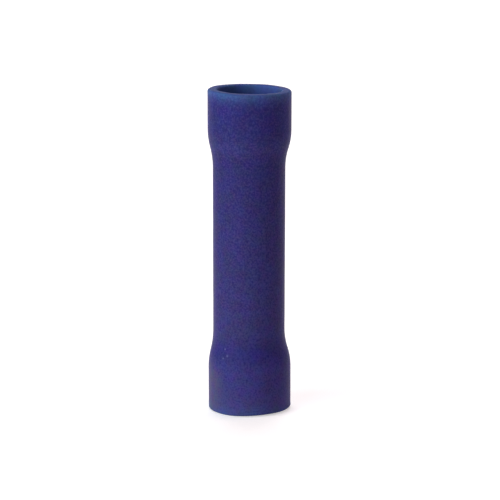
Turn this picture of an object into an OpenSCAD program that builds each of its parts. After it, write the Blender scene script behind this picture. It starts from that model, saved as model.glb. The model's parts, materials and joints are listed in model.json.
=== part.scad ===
// Insulated butt splice connector, for joining two stranded copper wires end to end.
// A vinyl sleeve with a bell at each end grips a tinned copper barrel. The bare strands of a wire go
// into the barrel from either end, as far as the stop rolled into its middle, and the insulation of
// the wire goes into the bell. The connector stands on its lower bell, with its axis along +Z and
// its origin at the centre of that end.

/* [Barrel] */
// Bore of the barrel, which takes the bare strands
barrel_bore = 2.3; // [1.8:0.1:2.9]
// Wall of the barrel
barrel_wall = 0.9; // [0.7:0.05:1.2]
// Length of the barrel
barrel_length = 15; // [12:0.5:18]
// Bevel inside each end of the barrel, which leads the strands in
entry_bevel = 0.3; // [0.1:0.05:0.5]
// Rounding outside each end of the barrel
barrel_round = 0.12; // [0.05:0.01:0.2]

/* [Centre stop] */
// Height of the stop inside the bore, and depth of the groove rolled outside it
stop_height = 0.5; // [0.3:0.05:0.7]
// Length of the stop along the barrel
stop_length = 1.8; // [1.2:0.1:2.4]

/* [Serrations] */
// Distance from an end of the barrel to its first groove
serration_start = 1.6; // [1:0.1:2.5]
// Distance from one groove to the next
serration_pitch = 1.3; // [0.9:0.1:2]
// Width of a groove where it opens into the bore
serration_width = 0.4; // [0.2:0.05:0.5]
// Depth of a groove
serration_depth = 0.1; // [0.05:0.01:0.2]

/* [Sleeve] */
// Wall of the sleeve over the barrel
waist_wall = 0.84; // [0.5:0.01:1.2]
// Length of the straight waist
waist_length = 13.2; // [10:0.1:15]
// Length of each curved neck between the waist and a bell
neck_length = 3.2; // [2.5:0.1:5]
// Bore of the bells, which takes the insulation of a wire
bell_bore = 5.2; // [4.8:0.1:6.5]
// Wall of the bells, which is thinner than the waist because they are stretched
bell_wall = 0.74; // [0.5:0.01:1]
// Straight length of the upper bell
upper_bell_length = 3.1; // [2:0.05:5]
// Straight length of the lower bell
lower_bell_length = 3.4; // [2:0.05:5]
// Rounding outside the mouth of a bell
mouth_round = 0.2; // [0.05:0.01:0.3]
// Rounding inside the mouth of a bell
mouth_inner_round = 0.15; // [0.05:0.01:0.25]
// Radial clearance at which the sleeve is drawn around the barrel it grips
grip_clearance = 0.01; // [0.005:0.005:0.05]

/* [Hidden] */
$fn = 96;

// Straight pieces that stand for each arc
arc_steps = 6;

bore_r = barrel_bore / 2;
barrel_r = bore_r + barrel_wall;
seat_r = barrel_r + grip_clearance;
waist_r = seat_r + waist_wall;
bell_bore_r = bell_bore / 2;
bell_r = bell_bore_r + bell_wall;

// Heights along the sleeve, from its lower end upwards
lower_neck_z = lower_bell_length;
waist_z = lower_neck_z + neck_length;
upper_neck_z = waist_z + waist_length;
upper_bell_z = upper_neck_z + neck_length;
sleeve_top_z = upper_bell_z + upper_bell_length;

// The barrel lies at the middle of the waist
stop_z = waist_z + waist_length / 2;
barrel_low_z = stop_z - barrel_length / 2;
barrel_top_z = stop_z + barrel_length / 2;

// As many grooves as fit between the first one and the stop
serration_room = (barrel_length - stop_length) / 2 - serration_start - serration_width;
serration_count = floor(serration_room / serration_pitch) + 1;

// Points of a quarter turn of radius r about centre c, from the angle given
function quarter(c, r, from) = [
    for (i = [0 : arc_steps])
        let (a = from + 90 * i / arc_steps)
        c + r * [cos(a), sin(a)]
];

// Points from p to q, each [radius, height], along two equal arcs that leave and arrive along the axis
function s_curve(p, q) =
    let (
        rise = q.y - p.y,
        turn = 2 * atan((q.x - p.x) / abs(rise)),
        bend = abs(rise) / (2 * sin(abs(turn))),
        half = [
            for (i = [0 : arc_steps])
                let (a = turn * i / arc_steps)
                p + bend * [sign(turn) * (1 - cos(a)), sign(rise) * sin(abs(a))]
        ]
    )
    concat(half, [for (i = [arc_steps - 1 : -1 : 0]) p + q - half[i]]);

// Points of one groove at height z in the bore's wall, from its upper edge to its lower edge
function groove(z) = [
    [bore_r, z + serration_width / 2],
    [bore_r + serration_depth, z + serration_width / 4],
    [bore_r + serration_depth, z - serration_width / 4],
    [bore_r, z - serration_width / 2]
];

// Groove points of one half of the barrel, downwards from the first groove's height
function serrations(first_z) = [
    for (i = [0 : serration_count - 1])
        each groove(first_z - i * serration_pitch)
];

// Vinyl sleeve: a tube that is narrow over the barrel and opens into a bell at each end
module insulating_sleeve() {
    outside = concat(
        quarter([bell_r - mouth_round, mouth_round], mouth_round, -90),
        s_curve([bell_r, lower_neck_z], [waist_r, waist_z]),
        s_curve([waist_r, upper_neck_z], [bell_r, upper_bell_z]),
        quarter([bell_r - mouth_round, sleeve_top_z - mouth_round], mouth_round, 0)
    );
    inside = concat(
        quarter([bell_bore_r + mouth_inner_round, sleeve_top_z - mouth_inner_round], mouth_inner_round, 90),
        s_curve([bell_bore_r, upper_bell_z], [seat_r, upper_neck_z]),
        s_curve([seat_r, waist_z], [bell_bore_r, lower_neck_z]),
        quarter([bell_bore_r + mouth_inner_round, mouth_inner_round], mouth_inner_round, 180)
    );
    color([0.2, 0.2, 0.45])
        rotate_extrude()
            polygon(concat(outside, inside));
}

// Tinned copper barrel: a tube with bevelled entries, a serrated bore and a stop rolled into its middle
module conductor_barrel() {
    stop_low_z = stop_z - stop_length / 2;
    stop_top_z = stop_z + stop_length / 2;
    lowest_groove_z = barrel_low_z + serration_start + (serration_count - 1) * serration_pitch;
    outside = concat(
        quarter([barrel_r - barrel_round, barrel_low_z + barrel_round], barrel_round, -90),
        s_curve([barrel_r, stop_low_z], [barrel_r - stop_height, stop_z]),
        s_curve([barrel_r - stop_height, stop_z], [barrel_r, stop_top_z]),
        quarter([barrel_r - barrel_round, barrel_top_z - barrel_round], barrel_round, 0)
    );
    inside = concat(
        [[bore_r + entry_bevel, barrel_top_z], [bore_r, barrel_top_z - entry_bevel]],
        serrations(barrel_top_z - serration_start),
        s_curve([bore_r, stop_top_z], [bore_r - stop_height, stop_z]),
        s_curve([bore_r - stop_height, stop_z], [bore_r, stop_low_z]),
        serrations(lowest_groove_z),
        [[bore_r, barrel_low_z + entry_bevel], [bore_r + entry_bevel, barrel_low_z]]
    );
    color([0.78, 0.77, 0.74])
        rotate_extrude()
            polygon(concat(outside, inside));
}

insulating_sleeve();
conductor_barrel();
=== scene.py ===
# %% [markdown]
# # An insulated butt splice
# A butt splice joins two wires end to end. It is a tinned copper barrel inside a blue vinyl sleeve, and
# the sleeve opens into a bell at each end to take the insulation of the wires. This lesson dresses the
# CAD model of such a splice: it makes a finer surface for each piece, gives each a finish and lights them.
#
# The packed CAD model is loaded first, and nothing here moves or resizes it.

# %% Load the frame
import json
import math

import bpy
import numpy as np
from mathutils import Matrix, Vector


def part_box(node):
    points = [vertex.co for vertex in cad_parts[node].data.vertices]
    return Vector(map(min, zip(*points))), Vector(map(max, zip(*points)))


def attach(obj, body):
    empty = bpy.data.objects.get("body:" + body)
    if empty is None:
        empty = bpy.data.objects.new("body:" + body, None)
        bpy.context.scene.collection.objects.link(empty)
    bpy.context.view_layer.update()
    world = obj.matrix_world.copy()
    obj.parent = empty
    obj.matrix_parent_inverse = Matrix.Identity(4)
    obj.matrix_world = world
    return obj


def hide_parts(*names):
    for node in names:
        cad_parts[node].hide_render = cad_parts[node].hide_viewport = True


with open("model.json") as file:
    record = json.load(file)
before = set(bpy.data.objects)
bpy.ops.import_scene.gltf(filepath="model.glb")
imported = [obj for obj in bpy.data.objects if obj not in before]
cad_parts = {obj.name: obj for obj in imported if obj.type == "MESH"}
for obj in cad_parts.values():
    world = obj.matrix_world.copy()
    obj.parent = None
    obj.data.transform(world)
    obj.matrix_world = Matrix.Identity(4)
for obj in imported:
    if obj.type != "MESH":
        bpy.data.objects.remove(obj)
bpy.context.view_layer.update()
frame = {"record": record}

MM = 0.001

# %% [markdown]
# ## Sizes
# A finish looks right only on a piece of the right size. The sizes could all be typed in again, but then
# they could drift from the model. So they come from the frame: the outside of each piece from its box, and
# each bore from the mount that the record states for it. Only what neither of them says is written here.

# %% Sizes
sleeve_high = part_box("insulating_sleeve")[1]
barrel_low, barrel_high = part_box("conductor_barrel")
mounts = {mount["name"]: mount for mount in frame["record"]["mounts"]}


def bore_of(name):
    """Radius, lower end and upper end of a bore, whose straight wall lies half to each side of its point."""
    radius = mounts[name]["dims"]["r_mm"] * MM
    half = mounts[name]["dims"]["length_mm"] * MM / 2
    middle = mounts[name]["pos_m"][2]
    return radius, middle - half, middle + half


bell_radius = sleeve_high.x
sleeve_top = sleeve_high.z
bell_bore_radius, upper_bell_low, mouth_bore_top = bore_of("upper_insulation_bore")
lower_bell_high = bore_of("lower_insulation_bore")[2]
mouth_inner_round = sleeve_top - mouth_bore_top
mouth_round = 0.2 * MM
waist_radius = 2.90 * MM
seat_radius = 2.06 * MM
neck_length = 3.2 * MM

barrel_radius = barrel_high.x
bore_radius, stop_top, entry_low = bore_of("upper_conductor_bore")
entry_bevel = barrel_high.z - entry_low
stop_low = bore_of("lower_conductor_bore")[2]
stop_height = 0.5 * MM
barrel_round = 0.12 * MM
groove_width = 0.4 * MM
groove_depth = 0.1 * MM
groove_start = 1.6 * MM
groove_pitch = 1.3 * MM
groove_count = 4
print("Bell and barrel radius in mm:", round(bell_radius / MM, 3), round(barrel_radius / MM, 3))

# %% [markdown]
# ## Camera
# The splice stands upright, and the camera looks at its middle from a little above. A short lens close by
# would make the upper end look wider than the lower one. A long lens from about twenty centimetres keeps
# the two ends almost the same width, as a product photographer would.

# %% Camera
PHOTO_SIDE = 500
SENSOR = 36.0
NEAREST_SEEN = 10 * MM
camera_distance = 215.0 * MM
camera_elevation = math.radians(11.5)
camera_target = Vector((0.035 * MM, 0.0, 13.058 * MM))
focal_in_pixels = 2671

camera = bpy.data.objects.new("camera", bpy.data.cameras.new("camera"))
bpy.context.scene.collection.objects.link(camera)
back = Vector((0.0, -math.cos(camera_elevation), math.sin(camera_elevation)))
camera.location = camera_target + back * camera_distance
camera.rotation_euler = (-back).to_track_quat("-Z", "Y").to_euler()
camera.data.sensor_width = SENSOR
camera.data.lens = focal_in_pixels * SENSOR / PHOTO_SIDE
camera.data.clip_start = NEAREST_SEEN
bpy.context.scene.camera = camera
print("Camera at", [round(side, 4) for side in camera.location], "lens", round(camera.data.lens, 1))

# %% [markdown]
# ## Profiles
# Both pieces are round about one axis. A Screw modifier could turn a drawn curve about it, but here each
# is a profile of radius against height that numpy carries round, because then every point is at hand for
# the later cells. A profile needs only two kinds of curve: a quarter circle for a rounded edge, and an S
# made of two equal arcs for a neck. Straight stretches are then cut into short steps, so that the surface
# has points wherever a later cell wants to move it a little.

# %% Curves of a profile
ROUND_STEPS = 8
NECK_STEPS = 14


def quarter(centre, radius, start):
    """A quarter circle: centre plus radius times the cosine and sine of an angle that runs on 90 degrees."""
    turn = np.radians(start + np.linspace(0, 90, ROUND_STEPS + 1))
    return np.array(centre) + radius * np.column_stack((np.cos(turn), np.sin(turn)))


def s_curve(start, end):
    """Two equal arcs from start to end, each (radius, height), that leave and arrive along the axis.

    The turn of an arc is twice the angle whose tangent is the step in radius over the rise, its bend is
    the rise over twice the sine of that turn, and the second arc is the first one turned half round the
    middle.
    """
    start, end = np.array(start), np.array(end)
    step, rise = end - start
    turn = 2 * math.atan2(step, abs(rise))
    bend = abs(rise) / (2 * math.sin(abs(turn)))
    swing = np.linspace(0, turn, NECK_STEPS + 1)
    across = np.sign(turn) * (1 - np.cos(swing))
    along = np.sign(rise) * np.sin(np.abs(swing))
    first = start + bend * np.column_stack((across, along))
    return np.concatenate((first, (start + end - first)[-2::-1]))


def fill(points, step):
    """A closed run of points with no side longer than step: each side is cut into equal parts."""
    ahead = np.roll(points, -1, axis=0)
    length = np.hypot(*(ahead - points)[:, :2].T)
    parts = np.ceil(length / step).astype(int).clip(min=1)
    side = np.repeat(np.arange(len(points)), parts)
    share = (np.arange(parts.sum()) - np.repeat(np.cumsum(parts) - parts, parts)) / parts[side]
    return points[side] + share[:, None] * (ahead - points)[side]


print("A neck has", len(s_curve((bell_radius, 0), (waist_radius, neck_length))), "points")

# %% [markdown]
# ## From a grid of points to a mesh
# The profile is a closed loop and so is the turn about the axis, so the grid of points closes both ways
# and has no seam and no pole. The faces are worked out for the whole grid at once. A mesh can also carry a
# number at each point, such as its distance from an edge, and a material reads that number by its name.

# %% Grid to mesh


def revolve(profile, columns):
    """A profile carried round the axis: radius times the cosine and sine of the angle, and height."""
    angle = np.linspace(0, 2 * np.pi, columns, endpoint=False)
    radius, height = profile[:, 0, None], profile[:, 1, None]
    flat = np.broadcast_arrays(radius * np.cos(angle), radius * np.sin(angle), height)
    return np.stack(flat, axis=-1)


def add_closed_grid(name, points):
    """An object whose faces join each point of the grid to the next both ways, round to the first."""
    rows, columns = points.shape[:2]
    row, column = np.meshgrid(np.arange(rows), np.arange(columns), indexing="ij")
    next_row, next_column = (row + 1) % rows, (column + 1) % columns
    corners = (
        row * columns + column,
        row * columns + next_column,
        next_row * columns + next_column,
        next_row * columns + column,
    )
    mesh = bpy.data.meshes.new(name)
    mesh.from_pydata(points.reshape(-1, 3), [], np.stack(corners, axis=-1).reshape(-1, 4))
    mesh.shade_smooth()
    piece = bpy.data.objects.new(name, mesh)
    bpy.context.scene.collection.objects.link(piece)
    print(name, "has", len(mesh.polygons), "faces")
    return piece


def carry(piece, name, values):
    """Stores one number for each point of a piece, which its material can read by name."""
    layer = piece.data.attributes.new(name, "FLOAT", "POINT")
    layer.data.foreach_set("value", np.ascontiguousarray(values, dtype=np.float32).ravel())
    print(name, "runs from", round(float(np.min(values)), 2), "to", round(float(np.max(values)), 2))


two_points = np.array([(bell_radius, 0.0), (bell_radius, sleeve_top)])
print("Two points in four columns make a grid of", revolve(two_points, 4).shape)

# %% [markdown]
# ## The vinyl sleeve
# The sleeve is one tube of soft vinyl: a straight waist that grips the barrel, and a bell at each end that
# was opened over a warm mandrel. Its outside and its inside are two runs of the same curves. The third
# column of its profile says whether a point is on the outside, so that the next cell can move the outside
# alone.

# %% Sleeve profile
SLEEVE_STEP = 0.16 * MM
SLEEVE_COLUMNS = 200

waist_low = lower_bell_high + neck_length
waist_high = upper_bell_low - neck_length
outer_corner = bell_radius - mouth_round
inner_corner = bell_bore_radius + mouth_inner_round

sleeve_outside = np.concatenate((
    quarter((outer_corner, mouth_round), mouth_round, -90),
    s_curve((bell_radius, lower_bell_high), (waist_radius, waist_low)),
    s_curve((waist_radius, waist_high), (bell_radius, upper_bell_low)),
    quarter((outer_corner, sleeve_top - mouth_round), mouth_round, 0),
))
sleeve_inside = np.concatenate((
    quarter((inner_corner, sleeve_top - mouth_inner_round), mouth_inner_round, 90),
    s_curve((bell_bore_radius, upper_bell_low), (seat_radius, waist_high)),
    s_curve((seat_radius, waist_low), (bell_bore_radius, lower_bell_high)),
    quarter((inner_corner, mouth_inner_round), mouth_inner_round, 180),
))
outside_flag = np.concatenate((np.ones(len(sleeve_outside)), np.zeros(len(sleeve_inside))))
sleeve_profile = np.column_stack((np.concatenate((sleeve_outside, sleeve_inside)), outside_flag))
sleeve_profile = fill(sleeve_profile, SLEEVE_STEP)
sleeve_points = revolve(sleeve_profile, SLEEVE_COLUMNS)
print("Sleeve grid:", sleeve_points.shape[:2])

# %% [markdown]
# ## The small errors of a real sleeve
# Soft vinyl is never quite true. The waist lies a few hundredths of a millimetre to one side of the bells,
# the whole sleeve is a hair wider at the top, both bells were opened a little out of square, the knife left
# a small lip, and the skin waves by a few microns. A bump in the material could fake them, but only inside
# the outline. So they are moved into the points themselves, each by a plain formula on the whole grid.

# %% Small errors of the sleeve
WAIST_LEAN = (-0.054 * MM, -0.035 * MM)
TAPER = 0.015 * MM
TOP_TILT = 0.06 * MM
BOTTOM_TILT = 0.14 * MM
BOTTOM_TILT_FROM, BOTTOM_TILT_TO = -2.4 * MM, 1.9 * MM
LIP = 0.035 * MM
LIP_FULL, LIP_END = 0.1 * MM, 0.3 * MM
LIP_SPREAD = 0.7
# Lobes round the sleeve, rate along it in radians to the millimetre, and phase
SKIN_WAVE = 0.005 * MM
SKIN_PARTS = ((2, 0.31, 0.4), (5, -0.83, 2.0), (9, 1.9, 4.1), (14, -3.1, 1.3))
CUT_WAVE = 0.012 * MM
CUT_PARTS = ((2, 0, 0.7), (5, 0, 2.1), (9, 0, 4.0))


def ease(value, start, end):
    """A smooth step from 0 at start to 1 at end: three times the squared share less twice its cube."""
    share = np.clip((value - start) / (end - start), 0, 1)
    return share * share * (3 - 2 * share)


def waves(angle, height, parts):
    """The mean of sines of lobes times the angle, plus rate times the height in millimetres, plus phase."""
    sines = [np.sin(lobes * angle + rate * height / MM + phase) for lobes, rate, phase in parts]
    return np.mean(sines, axis=0)


x, y, height = np.moveaxis(sleeve_points, -1, 0)
angle, radius = np.arctan2(y, x), np.hypot(x, y)
outside = sleeve_profile[:, 2, None]
on_top_bell = ease(height, waist_high, upper_bell_low)
on_bottom_bell = 1 - ease(height, lower_bell_high, waist_low)
on_waist = (1 - on_top_bell) * (1 - on_bottom_bell)
at_foot = 1 - ease(height, 0, lower_bell_high)
at_lip = np.exp(-(angle / LIP_SPREAD) ** 2) * (1 - ease(height, LIP_FULL, LIP_END))

skin = SKIN_WAVE * waves(angle, height, SKIN_PARTS)
grown = radius + outside * (TAPER * (2 * height / sleeve_top - 1) + skin + LIP * at_lip)
lean = outside * on_waist * np.interp(height, (waist_low, waist_high), WAIST_LEAN)
cut = CUT_WAVE * waves(angle, 0, CUT_PARTS)
top_lift = on_top_bell * (cut - TOP_TILT * x / bell_radius)
tilt = BOTTOM_TILT * (ease(x, BOTTOM_TILT_FROM, BOTTOM_TILT_TO) - 0.5)
bottom_lift = on_bottom_bell * (cut + tilt) + at_foot * BOTTOM_TILT / 2
uneven_height = height + top_lift + bottom_lift
uneven_height -= uneven_height.min()
uneven_points = np.stack((grown * np.cos(angle) + lean, grown * np.sin(angle), uneven_height), axis=-1)
print("Points moved by up to", round(np.abs(uneven_points - sleeve_points).max() / MM, 3), "mm")

# %% [markdown]
# ## Marks for the vinyl's colour
# Some of the vinyl's colour is painted light. A painted reflection of the floor makes the skin milky at the
# upper neck and at the foot, and a painted shade deepens it at the lower neck. The mouths, the lower one
# less, turn teal, partly from the stretching of the vinyl and partly as a painted glow of light through the
# thin wall. A painted reflection of the floor makes the left side of the foot paler and greyer. A picture
# could show this, but it needs a UV map. A number at each point needs none, so each of these is a number
# from 0 to 1. The painted shade counts as less than nothing in the painted reflection of the necks.

# %% Marks for the vinyl's colour, painted light among them
# Painted reflection of the floor at the upper neck and the foot, painted shade at the lower neck
PAINTED_SHEEN_NECK, PAINTED_SHEEN_NECK_REACH = upper_bell_low - 1.25 * MM, 1.3 * MM
PAINTED_SHADE_NECK, PAINTED_SHADE_NECK_REACH = lower_bell_high + 1.7 * MM, 1.7 * MM
PAINTED_SHEEN_FOOT, PAINTED_SHEEN_FOOT_REACH, PAINTED_SHEEN_FOOT_SHARE = 0.6 * MM, 2.0 * MM, 0.65
# Teal at the mouths, the lower one less: partly the stretching, partly a painted glow through the thin wall
STRETCH_GLOW_REACH, LOWER_STRETCH_GLOW = 1.3 * MM, 0.5
# Painted reflection of the floor on the left side of the foot: heights, then places to the side
REFLECTION_HEIGHT, REFLECTION_END = 2.8 * MM, 4.9 * MM
REFLECTION_EDGE, REFLECTION_MOST = -1.8 * MM, -3.3 * MM


def hump(value, middle, reach):
    """1 at the middle, easing to 0 at the reach to either side."""
    return ease(np.abs(value - middle), reach, 0)


def fade(distance, reach):
    """1 at no distance and 0 from the reach on: the square of one less the distance over the reach."""
    return np.clip(1 - distance / reach, 0, 1) ** 2


# Above 0 a painted reflection of the floor, below 0 a painted shade
pulled = hump(height, PAINTED_SHEEN_NECK, PAINTED_SHEEN_NECK_REACH) - hump(height, PAINTED_SHADE_NECK, PAINTED_SHADE_NECK_REACH)
pulled += PAINTED_SHEEN_FOOT_SHARE * hump(height, PAINTED_SHEEN_FOOT, PAINTED_SHEEN_FOOT_REACH)
# Partly the stretching of the vinyl, partly a painted glow of light through the thin wall
stretched = fade(sleeve_top - height, STRETCH_GLOW_REACH) + LOWER_STRETCH_GLOW * fade(height, STRETCH_GLOW_REACH)
# Painted reflection of the floor, paler and greyer, on the left side of the foot
rubbed = outside * ease(height, REFLECTION_END, REFLECTION_HEIGHT) * ease(x, REFLECTION_EDGE, REFLECTION_MOST)
print("Share of the points that are rubbed:", round(float(np.mean(rubbed > 0)), 3))

# %% [markdown]
# ## The sleeve's mesh
# Now the moved points become a mesh. It carries the marks above, and three more numbers that the material
# needs: the distance from the nearest mouth in millimetres, how far the vinyl was opened into a bell, and
# whether a point is on the inside.

# %% Sleeve mesh
sleeve = add_closed_grid("vinyl_sleeve", uneven_points)
carry(sleeve, "mouth_distance", np.minimum(height, sleeve_top - height) / MM)
carry(sleeve, "opened", 1 - on_waist)
carry(sleeve, "pulled", pulled)
carry(sleeve, "stretched", stretched)
carry(sleeve, "rubbed", rubbed)
carry(sleeve, "inside", np.broadcast_to(1 - outside, height.shape))

# %% [markdown]
# ## The tinned barrel
# The barrel is a copper tube with a bevel inside each end that leads the strands in, small grooves that
# bite into them, and a stop rolled into its middle. It could be cut from a cylinder step by step, but every
# one of these is round about the axis, so one profile holds them all. A drawn metal tube is true, so the
# profile goes straight into a mesh, with no errors added.

# %% Barrel profile
BARREL_STEP = 0.2 * MM
BARREL_COLUMNS = 160
# Corners of one groove: shares of its width along the bore, and of its depth
GROOVE_ALONG = np.array([0.5, 0.25, -0.25, -0.5])
GROOVE_INTO = np.array([0.0, 1.0, 1.0, 0.0])


def grooves(first, direction):
    """Corners of the grooves of one half: four to a groove, in the order of their heights."""
    centre = first + direction * groove_pitch * np.arange(groove_count)
    height = centre[:, None] + groove_width * GROOVE_ALONG
    radius = np.broadcast_to(bore_radius + groove_depth * GROOVE_INTO, height.shape)
    corner = np.stack((radius, height), axis=-1).reshape(-1, 2)
    return corner[np.argsort(-corner[:, 1], kind="stable")]


stop_middle = (stop_low + stop_top) / 2
barrel_corner = barrel_radius - barrel_round
dip = barrel_radius - stop_height
ridge = bore_radius - stop_height
barrel_profile = np.concatenate((
    quarter((barrel_corner, barrel_low.z + barrel_round), barrel_round, -90),
    s_curve((barrel_radius, stop_low), (dip, stop_middle)),
    s_curve((dip, stop_middle), (barrel_radius, stop_top))[1:],
    quarter((barrel_corner, barrel_high.z - barrel_round), barrel_round, 0),
    [(bore_radius + entry_bevel, barrel_high.z), (bore_radius, barrel_high.z - entry_bevel)],
    grooves(barrel_high.z - groove_start, -1),
    s_curve((bore_radius, stop_top), (ridge, stop_middle)),
    s_curve((ridge, stop_middle), (bore_radius, stop_low))[1:],
    grooves(barrel_low.z + groove_start, 1),
    [(bore_radius, barrel_low.z + entry_bevel), (bore_radius + entry_bevel, barrel_low.z)],
))
barrel_profile = fill(barrel_profile, BARREL_STEP)
barrel = add_closed_grid("tinned_barrel", revolve(barrel_profile, BARREL_COLUMNS))

# %% [markdown]
# ## Shader sums
# A finish is a small sum of patterns. Adding each node by hand would hide that sum in many lines. Writing
# it with Python's own operators keeps it readable, so one class wraps a socket: an operator on it adds a
# Math node, and one method adds any other node. The reflected operators let a plain number stand first, as
# in 1 - mask.

# %% Sockets with operators


class Socket:
    """An output in a shader tree. Its operators add Math nodes, and node() adds any other node."""

    def __init__(self, tree, link=None):
        self.tree = tree
        self.link = link

    def node(self, kind, settings=None, sockets=None, output=0):
        """A new node: its settings are set first, then the values or links of its sockets."""
        made = self.tree.nodes.new(kind)
        for name, value in (settings or {}).items():
            setattr(made, name, value)
        for name, value in (sockets or {}).items():
            if isinstance(value, Socket):
                self.tree.links.new(value.link, made.inputs[name])
            else:
                made.inputs[name].default_value = value
        return Socket(self.tree, made.outputs[output] if made.outputs else None)

    def math(self, operation, first, second):
        """A Math node on two values or sockets."""
        return self.node("ShaderNodeMath", {"operation": operation}, {0: first, 1: second})

    def __add__(self, other):
        return self.math("ADD", self, other)

    __radd__ = __add__

    def __sub__(self, other):
        return self.math("SUBTRACT", self, other)

    def __rsub__(self, other):
        return self.math("SUBTRACT", other, self)

    def __mul__(self, other):
        return self.math("MULTIPLY", self, other)

    __rmul__ = __mul__

    def __pow__(self, other):
        return self.math("POWER", self, other)

    def __rpow__(self, other):
        return self.math("POWER", other, self)


def fresh_tree(owner):
    """An empty shader tree of a material or a world, as a Socket that can add nodes."""
    owner.use_nodes = True
    owner.node_tree.nodes.clear()
    return Socket(owner.node_tree)


print("Reflected operators:", [name for name in vars(Socket) if name.startswith("__r")])

# %% [markdown]
# ## Patterns
# The patterns of both finishes are noises, and a noise needs a place to be read at. Object coordinates stay
# with the piece when it moves or is exported. They are turned into millimetres here, so that the scale of a
# noise is simply how many lumps fit into a millimetre. A noise stays close to its middle value, so a helper
# spreads it.

# %% Places and noises
PER_MM = 1 / MM


def millimetres(tree):
    """Object coordinates in millimetres."""
    place = tree.node("ShaderNodeTexCoord", output="Object")
    return tree.node("ShaderNodeVectorMath", {"operation": "SCALE"}, {0: place, "Scale": PER_MM})


def drawn_out(tree, place, factors):
    """A place with each coordinate multiplied, which draws a pattern out where the factor is small."""
    return tree.node("ShaderNodeVectorMath", {"operation": "MULTIPLY"}, {0: place, 1: factors})


def carried(tree, name):
    """The number that the mesh carries at each point under that name."""
    return tree.node("ShaderNodeAttribute", {"attribute_name": name}, output="Fac")


def noise(tree, place, scale, contrast, detail):
    """Noise with that many lumps in a millimetre: a half, plus the contrast times what it differs by."""
    plain = tree.node("ShaderNodeTexNoise", sockets={"Vector": place, "Scale": scale, "Detail": detail})
    return 0.5 + contrast * (plain - 0.5)


def fading(tree, distance, reach):
    """A share that falls from 1 to 0 over the reach: the square of one less the distance over the reach."""
    return tree.math("MAXIMUM", 1 - distance * (1 / reach), 0.0) ** 2


print("Object coordinates are multiplied by", PER_MM)

# %% [markdown]
# ## Colours and bumps
# A Math node would turn a colour grey, so colours go through Mix nodes: one kind goes from a colour to
# another, and the other multiplies a colour by a cast. What is finer than the mesh goes into a bump, which
# tilts the light and moves no point. Blender's colours are linear, and a last helper tells how one looks.

# %% Colours and bumps
# Places of a Mix node's factor and colours among its sockets
MIX_FACTOR, MIX_FIRST, MIX_SECOND, MIX_RESULT = 0, 6, 7, 2


def blend(tree, factor, first, second):
    """A colour that goes from the first to the second as the factor goes from 0 to 1."""
    sockets = {MIX_FACTOR: factor, MIX_FIRST: first, MIX_SECOND: second}
    return tree.node("ShaderNodeMix", {"data_type": "RGBA"}, sockets, output=MIX_RESULT)


def tinted(tree, colour, cast):
    """A colour with each of its channels multiplied by the cast's."""
    settings = {"data_type": "RGBA", "blend_type": "MULTIPLY"}
    sockets = {MIX_FACTOR: 1.0, MIX_FIRST: colour, MIX_SECOND: cast}
    return tree.node("ShaderNodeMix", settings, sockets, output=MIX_RESULT)


def bumps(tree, height, strength, depth):
    """A normal tilted by a height that runs from 0 to 1 over the depth given."""
    return tree.node("ShaderNodeBump", sockets={"Strength": strength, "Distance": depth, "Height": height})


def screen_levels(colour):
    """Levels from 0 to 255 of a linear colour: 255 times (1.055 times its 2.4th root, less 0.055)."""
    root = np.array(colour[:3]) ** (1 / 2.4)
    return np.round(255 * (1.055 * root - 0.055)).astype(int).tolist()


print("A linear grey of 0.18 shows as", screen_levels((0.18, 0.18, 0.18)))

# %% [markdown]
# ## Blues of the vinyl
# The sleeve is soft vinyl, dyed through, and the dye is not even. It is a purer blue where the bells were
# opened, and it has painted light in it as well. It is painted a little paler towards the foot, for the
# stronger light near the floor, and paler and greyer on the left of the foot, a painted reflection of the
# floor. It is milky at the upper neck and at the foot, a painted reflection of the floor, and deeper at the
# lower neck, a painted shade. It is lighter and greener in the bore, a painted glow of light through the
# thin wall. At the two mouths it turns to teal, partly from the stretching of the vinyl and partly as a
# painted glow through the thin wall, with a deeper line along the cut itself. One picture of all this would
# do, but only for this sleeve. Casts close to white stand for the finest differences: a colour multiplied
# by one keeps its own depth and only leans to red, green or blue.

# %% Blues of the vinyl
vinyl_deep = (0.0217, 0.0201, 0.1232, 1.0)
vinyl_pale = (0.0490, 0.0433, 0.1715, 1.0)
# Painted glow: the bore is lighter and greener, for light that comes through the thin wall
vinyl_inside_glow = (0.0350, 0.0560, 0.2200, 1.0)
# Teal of the mouths: partly the stretching, partly a painted glow of light through the thin wall
vinyl_stretched_glow = (0.0560, 0.1120, 0.2950, 1.0)
vinyl_cut = (0.0260, 0.0460, 0.1850, 1.0)
# Pale flecks: scuffs, with a painted glint of their small nicks
vinyl_scuff_glint = (0.1100, 0.1200, 0.3000, 1.0)
# Paler, greyer blue of the painted reflection of the floor on the foot
foot_reflection_blue = (0.0720, 0.0670, 0.1740, 1.0)
no_cast = (1.0, 1.0, 1.0, 1.0)
opened_cast = (1.0, 1.0, 1.12, 1.0)
# Casts of the painted reflection of the floor and of the painted shade at the necks and the foot
painted_sheen_cast = (1.28, 1.28, 1.03, 1.0)
painted_shade_cast = (0.72, 0.72, 0.93, 1.0)
red_cast = (1.09, 0.91, 1.0, 1.0)
green_cast = (0.91, 1.09, 1.0, 1.0)
faint_blue_cast = (1.0, 1.0, 0.89, 1.0)
strong_blue_cast = (1.0, 1.0, 1.11, 1.0)
print("Vinyl shows as", screen_levels(vinyl_deep), "to", screen_levels(vinyl_pale))

# %% [markdown]
# ## Scuffs
# Something has touched the lower neck and left a few pale flecks, partly scuffed vinyl and partly a
# painted glint of their small nicks. Small raised pieces could stand for them, but they are only marks on
# the skin, so each is a spot of colour that fades from its centre. The centre is given as a maker would
# mark it: how far round from the front, and how high.

# %% Scuffs
# Degrees from the front, then height and reach in millimetres
FLECKS = ((-40.4, 5.40, 0.14), (-34.8, 4.90, 0.17), (-41.6, 4.66, 0.14))


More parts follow.
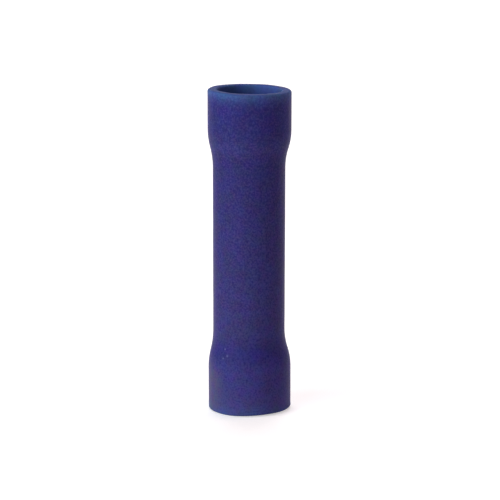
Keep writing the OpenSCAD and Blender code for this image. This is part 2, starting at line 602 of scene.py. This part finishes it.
def fleck(tree, place, azimuth, height, reach):
    """A small spot on the skin that fades over its reach from a centre at that azimuth and height."""
    turn = math.radians(azimuth)
    radius = np.interp(height * MM, sleeve_outside[:, 1], sleeve_outside[:, 0]) / MM
    centre = (radius * math.sin(turn), -radius * math.cos(turn), height)
    sockets = {0: place, 1: centre}
    distance = tree.node("ShaderNodeVectorMath", {"operation": "DISTANCE"}, sockets, output="Value")
    return fading(tree, distance, reach)


print("Flecks on the neck:", len(FLECKS))

# %% [markdown]
# ## Blue vinyl
# The skin is satin, with a fine grain from the mould and faint lines along the tube from the die it was
# drawn through. The grain goes into colour and bump alike, and the lines into bump and roughness. The dye
# clouds between a redder and a greener blue over about a millimetre, and a tide in it runs between a fainter
# and a stronger blue. Soft vinyl has little gloss, so its specular level is low, and a touch of sheen
# lightens it where it turns away. All of it is worked out from the place, so it holds from every side.

# %% Blue vinyl
CLOUDS_PER_MM, TIDES_PER_MM = 1.2, 1.0
GRAINS_PER_MM, LINES_PER_MM = 7.0, 3.5
# The tide mirrors its places, so that it doesn't follow the clouds
TIDE_FACTORS = (-1.0, 1.0, -1.0)
LINE_FACTORS = (1.0, 1.0, 0.04)
# Share of the pale dye at the top, what the painted light towards the foot adds to it, and how far the grain
# moves it
PALE_AT_TOP, PAINTED_LIGHT_AT_FOOT, PALE_BY_GRAIN = 0.21, 0.66, 1.2
# Share of the painted reflection on the foot, and how far the tide moves it
REFLECTION_SHARE, REFLECTION_BY_TIDE = 0.65, 0.3
# Share of that teal, stretching and painted glow, and how far the grain moves it
STRETCH_GLOW_SHARE, STRETCH_GLOW_BY_GRAIN = 0.6, 0.6
CUT_REACH = 0.10
SATIN, SATIN_BY_LINES, SATIN_BY_STRETCH = 0.40, 0.10, 0.12
VINYL_GLOSS, VINYL_SHEEN, SHEEN_SPREAD = 0.03, 0.05, 0.3
GRAIN_DEPTH, GRAIN_STRENGTH, LINE_HEIGHT = 0.012 * MM, 0.35, 0.4


def make_blue_vinyl():
    """Satin vinyl: clouded blues with grain, drawn lines and flecks, and painted light that makes it paler
    at the foot and the mouths.
    """
    material = bpy.data.materials.new("blue_vinyl")
    tree = fresh_tree(material)
    place = millimetres(tree)
    height = tree.node("ShaderNodeSeparateXYZ", sockets={"Vector": place}, output="Z")
    # Painted light: a share that rises towards the foot, for the stronger light near the floor
    foot = 1 - height * (MM / sleeve_top)
    mouth = carried(tree, "mouth_distance")
    stretch_and_glow = carried(tree, "stretched")
    cloud = noise(tree, place, CLOUDS_PER_MM, contrast=4.0, detail=6.0)
    tide = noise(tree, drawn_out(tree, place, TIDE_FACTORS), TIDES_PER_MM, contrast=4.0, detail=6.0)
    grain = noise(tree, place, GRAINS_PER_MM, contrast=2.5, detail=3.0)
    lines = noise(tree, drawn_out(tree, place, LINE_FACTORS), LINES_PER_MM, contrast=2.0, detail=3.0)
    scuff_and_glint = sum((fleck(tree, place, *spot) for spot in FLECKS[1:]), fleck(tree, place, *FLECKS[0]))

    # The pale dye towards the foot is painted light; what the grain adds is the dye's own
    pale = PALE_AT_TOP + PAINTED_LIGHT_AT_FOOT * foot + PALE_BY_GRAIN * (grain - 0.5)
    dye = blend(tree, pale, vinyl_deep, vinyl_pale)
    dye = tinted(tree, dye, blend(tree, carried(tree, "opened"), no_cast, opened_cast))
    # Painted reflection of the floor, milky, at the upper neck and foot; painted shade, deeper, at the lower
    # neck
    dye = tinted(tree, dye, blend(tree, 0.5 + 0.5 * carried(tree, "pulled"), painted_shade_cast, painted_sheen_cast))
    # Painted reflection of the floor on the left of the foot
    foot_reflection_share = carried(tree, "rubbed") * (REFLECTION_SHARE + grain - REFLECTION_BY_TIDE * tide)
    dye = blend(tree, foot_reflection_share, dye, foot_reflection_blue)
    # Painted glow of light through the thin wall in the bore
    dye = blend(tree, carried(tree, "inside"), dye, vinyl_inside_glow)
    # Teal at the mouths: partly the stretching, partly a painted glow through the thin wall
    dye = blend(tree, stretch_and_glow * (STRETCH_GLOW_SHARE + STRETCH_GLOW_BY_GRAIN * grain), dye, vinyl_stretched_glow)
    dye = blend(tree, fading(tree, mouth, CUT_REACH), dye, vinyl_cut)
    dye = tinted(tree, dye, blend(tree, cloud, red_cast, green_cast))
    dye = tinted(tree, dye, blend(tree, tide, faint_blue_cast, strong_blue_cast))
    # Flecks: scuffs, partly a painted glint of the nicks
    dye = blend(tree, scuff_and_glint, dye, vinyl_scuff_glint)
    skin = tree.node("ShaderNodeBsdfPrincipled", sockets={
        "Base Color": dye,
        "Roughness": SATIN + SATIN_BY_LINES * lines + SATIN_BY_STRETCH * stretch_and_glow,
        "Specular IOR Level": VINYL_GLOSS,
        "Sheen Weight": VINYL_SHEEN,
        "Sheen Roughness": SHEEN_SPREAD,
        "Normal": bumps(tree, grain + LINE_HEIGHT * lines, GRAIN_STRENGTH, GRAIN_DEPTH),
    })
    tree.node("ShaderNodeOutputMaterial", sockets={"Surface": skin})
    return material


sleeve.data.materials.append(make_blue_vinyl())
print("Vinyl nodes:", len(sleeve.data.materials[0].node_tree.nodes))

# %% [markdown]
# ## Tin plating
# The barrel is copper tube with a thin coat of tin, which keeps it from turning green. Tin is a pale warm
# grey metal. A plain metal of one roughness would look like new chrome. Here the tube's drawing lines show
# through along the axis, and the tin has dulled in patches, so the lines go into the bump and the patches
# into both colour and roughness.

# %% Tin plating
tin_bright = (0.72, 0.70, 0.66, 1.0)
tin_dull = (0.47, 0.45, 0.42, 1.0)
PATCHES_PER_MM, SCRATCHES_PER_MM = 1.3, 7.0
SCRATCH_FACTORS = (1.0, 1.0, 0.05)
BRIGHT_BY_PATCHES, BRIGHT_BY_SCRATCHES = 0.7, 0.3
DULL_ROUGHNESS, SMOOTHER_BY_PATCHES = 0.48, 0.20
SCRATCH_DEPTH, SCRATCH_STRENGTH = 0.008 * MM, 0.25


def make_tin():
    """Tin: a metal whose shine is broken by dull patches and by fine lines along the tube."""
    material = bpy.data.materials.new("tin_plating")
    tree = fresh_tree(material)
    place = millimetres(tree)
    patches = noise(tree, place, PATCHES_PER_MM, contrast=2.2, detail=4.0)
    along = drawn_out(tree, place, SCRATCH_FACTORS)
    scratches = noise(tree, along, SCRATCHES_PER_MM, contrast=2.0, detail=3.0)
    bright = BRIGHT_BY_PATCHES * patches + BRIGHT_BY_SCRATCHES * scratches
    skin = tree.node("ShaderNodeBsdfPrincipled", sockets={
        "Base Color": blend(tree, bright, tin_dull, tin_bright),
        "Roughness": DULL_ROUGHNESS - SMOOTHER_BY_PATCHES * patches,
        "Metallic": 1.0,
        "Normal": bumps(tree, scratches, SCRATCH_STRENGTH, SCRATCH_DEPTH),
    })
    tree.node("ShaderNodeOutputMaterial", sockets={"Surface": skin})
    return material


barrel.data.materials.append(make_tin())
print("Tin shows as", screen_levels(tin_dull), "to", screen_levels(tin_bright))

# %% [markdown]
# ## Each piece stands for its solid
# The CAD solids stay in the model, where they give it weight and contact. Each finished piece rides on the
# same body as its solid and hides the solid that it stands for.
# Nothing moves on a splice, so both ride on its one body.

# %% Riding on the frame
for piece, node, slot in (
    (sleeve, "insulating_sleeve", "blue_vinyl"),
    (barrel, "conductor_barrel", "tinned_copper"),
):
    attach(piece, "root")
    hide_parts(node)
    print(piece.name, "stands for", node)

# %% [markdown]
# ## Floor
# The splice stands on plain white paper. The lamps alone would leave the paper a pale grey, and more light
# would bleach the splice as well. So what is seen of the paper, by the camera or in a reflection, is lifted
# to white. The Light Path node tells such a ray from a ray of light, so the lift adds no light to the
# splice, and its soft shadow stays.

# %% Floor
FLOOR_HALF = 3.0
PAPER_GREY = (0.82, 0.82, 0.82, 1.0)
PAPER_LIFT = 0.52
SIGHT_RAYS = ("Is Camera Ray", "Is Glossy Ray", "Is Transmission Ray")

floor_mesh = bpy.data.meshes.new("floor")
floor_corners = FLOOR_HALF * np.array([(-1, -1, 0), (1, -1, 0), (1, 1, 0), (-1, 1, 0)])
floor_mesh.from_pydata(floor_corners, [], [(0, 1, 2, 3)])
floor = bpy.data.objects.new("floor", floor_mesh)
bpy.context.scene.collection.objects.link(floor)


def seen_rays(tree):
    """1 on a ray of sight, straight from the camera, off a gloss or through glass, and 0 on other rays."""
    straight, glossy, glassy = [tree.node("ShaderNodeLightPath", output=ray) for ray in SIGHT_RAYS]
    return tree.math("MAXIMUM", tree.math("MAXIMUM", straight, glossy), glassy)


def make_paper():
    """White paper that keeps the shadow, lifted where it is seen."""
    material = bpy.data.materials.new("white_paper")
    tree = fresh_tree(material)
    paper = tree.node("ShaderNodeBsdfDiffuse", sockets={"Color": PAPER_GREY})
    lift = tree.node("ShaderNodeEmission", sockets={"Strength": PAPER_LIFT * seen_rays(tree)})
    both = tree.node("ShaderNodeAddShader", sockets={0: paper, 1: lift})
    tree.node("ShaderNodeOutputMaterial", sockets={"Surface": both})
    return material


floor_mesh.materials.append(make_paper())
print("Paper of", 2 * FLOOR_HALF, "m square")

# %% [markdown]
# ## Light
# A picture of a studio could light the splice from all round, but four lamps are easier to set one by one. A
# large softbox low on the left does most of the work, and it is what makes the right side of the splice fall
# off into a deep violet. A weaker and slightly bluer one nearer the camera carries that fall round the
# front. One high at the back lights the paper and the rims of the mouths, and the paper gives some of it
# back to the sleeve from below. A weak warm one on the right keeps the far edge from going black. Each is
# set by its radiance, so that its level doesn't change when its size does.

# %% Softboxes
SOFTBOX_DISTANCE = 1.6
SOFTBOX_SIDE = 1.0


def add_softbox(name, azimuth, elevation, radiance, colour):
    """A square lamp that looks at the middle of the splice. Azimuth 0 is the camera's side, 90 the right.

    Its power is pi times its area times its radiance.
    """
    lamp = bpy.data.lights.new(name, "AREA")
    lamp.shape = "SQUARE"
    lamp.size = SOFTBOX_SIDE
    lamp.energy = math.pi * SOFTBOX_SIDE ** 2 * radiance
    lamp.color = colour
    box = bpy.data.objects.new(name, lamp)
    bpy.context.scene.collection.objects.link(box)
    around, above = math.radians(azimuth), math.radians(elevation)
    level = math.cos(above)
    outward = Vector((math.sin(around) * level, -math.cos(around) * level, math.sin(above)))
    box.location = camera_target + outward * SOFTBOX_DISTANCE
    box.rotation_euler = (-outward).to_track_quat("-Z", "Y").to_euler()
    print(name, "of", round(lamp.energy, 1), "W")


add_softbox("key_softbox", azimuth=-60, elevation=18, radiance=5.6, colour=(0.90, 1.0, 0.89))
add_softbox("front_softbox", azimuth=-35, elevation=20, radiance=3.4, colour=(0.84, 0.86, 1.0))
add_softbox("back_softbox", azimuth=180, elevation=60, radiance=4.3, colour=(1.0, 1.0, 1.0))
add_softbox("fill_softbox", azimuth=100, elevation=28, radiance=2.3, colour=(1.0, 0.64, 0.60))

# %% [markdown]
# ## The room
# The room itself is nearly dark and a little warm, so that the softboxes alone shape the splice. Where it is
# seen, it is plain white, by the same rays of sight that lift the paper. The Standard view shows colours as
# they are.

# %% Room
AMBIENT = (0.06, 0.02, 0.03, 1.0)
WHITE = (1.0, 1.0, 1.0, 1.0)
world = bpy.data.worlds.new("studio")
bpy.context.scene.world = world
room = fresh_tree(world)
wall_colour = blend(room, seen_rays(room), AMBIENT, WHITE)
walls = room.node("ShaderNodeBackground", sockets={"Color": wall_colour})
room.node("ShaderNodeOutputWorld", sockets={"Surface": walls})
bpy.context.scene.view_settings.view_transform = "Standard"
print("Room light:", AMBIENT[:3])

# %% [markdown]
# ## Size of the finished model
# A finish must not change the size of a part. The finished model differs from the CAD model only by
# the small errors of the sleeve.
